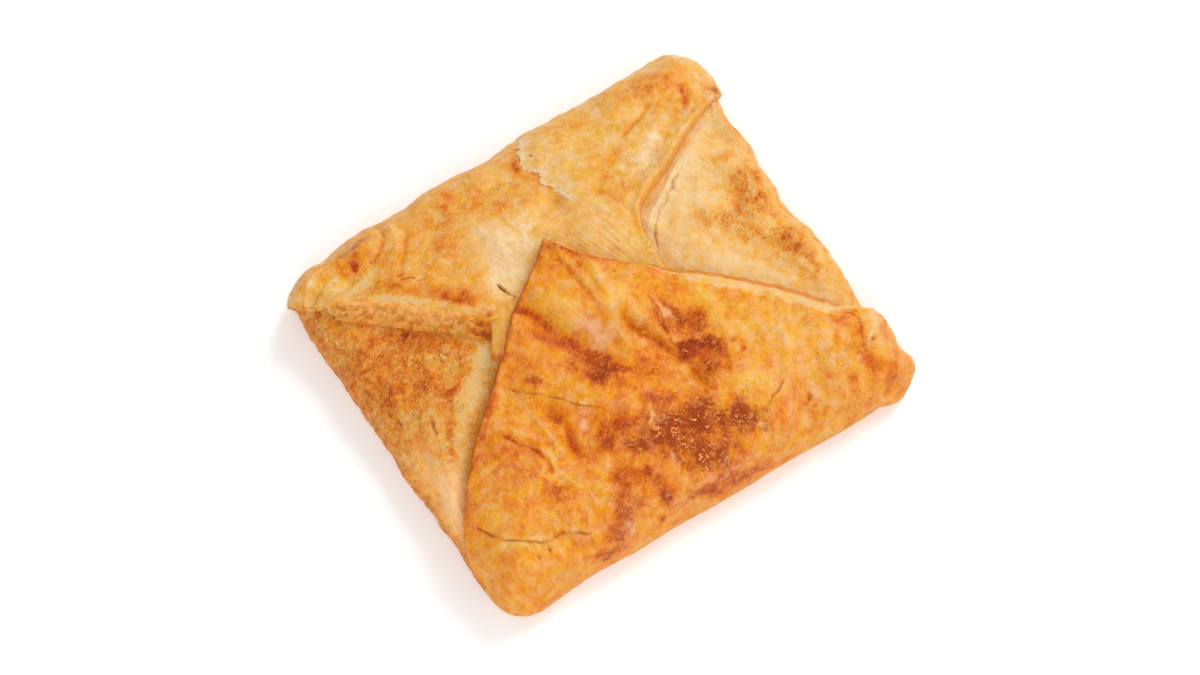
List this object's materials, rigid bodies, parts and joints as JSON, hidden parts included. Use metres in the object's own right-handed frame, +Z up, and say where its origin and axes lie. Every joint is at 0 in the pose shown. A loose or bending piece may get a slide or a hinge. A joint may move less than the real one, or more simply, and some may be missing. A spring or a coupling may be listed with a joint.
{
  "type": "khachapuri",
  "caption": "Filled puff pastry folded shut as an envelope, with overlapping flaps, layered cut edges and an uneven browned crust.",
  "frame": {"origin": "centre of the outline, on the flat underside that rests on the table", "axes": "+X along the longer side, +Y towards the side that the back flap folds over from, +Z up"},
  "size_m": [0.1518, 0.1306, 0.0361],
  "materials": {
    "baked_crust": "egg-washed puff pastry, satin, golden with pale folds and brown patches"
  },
  "bodies": {
    "root": {"khachapuri": "baked_crust"}
  },
  "joints": []
}
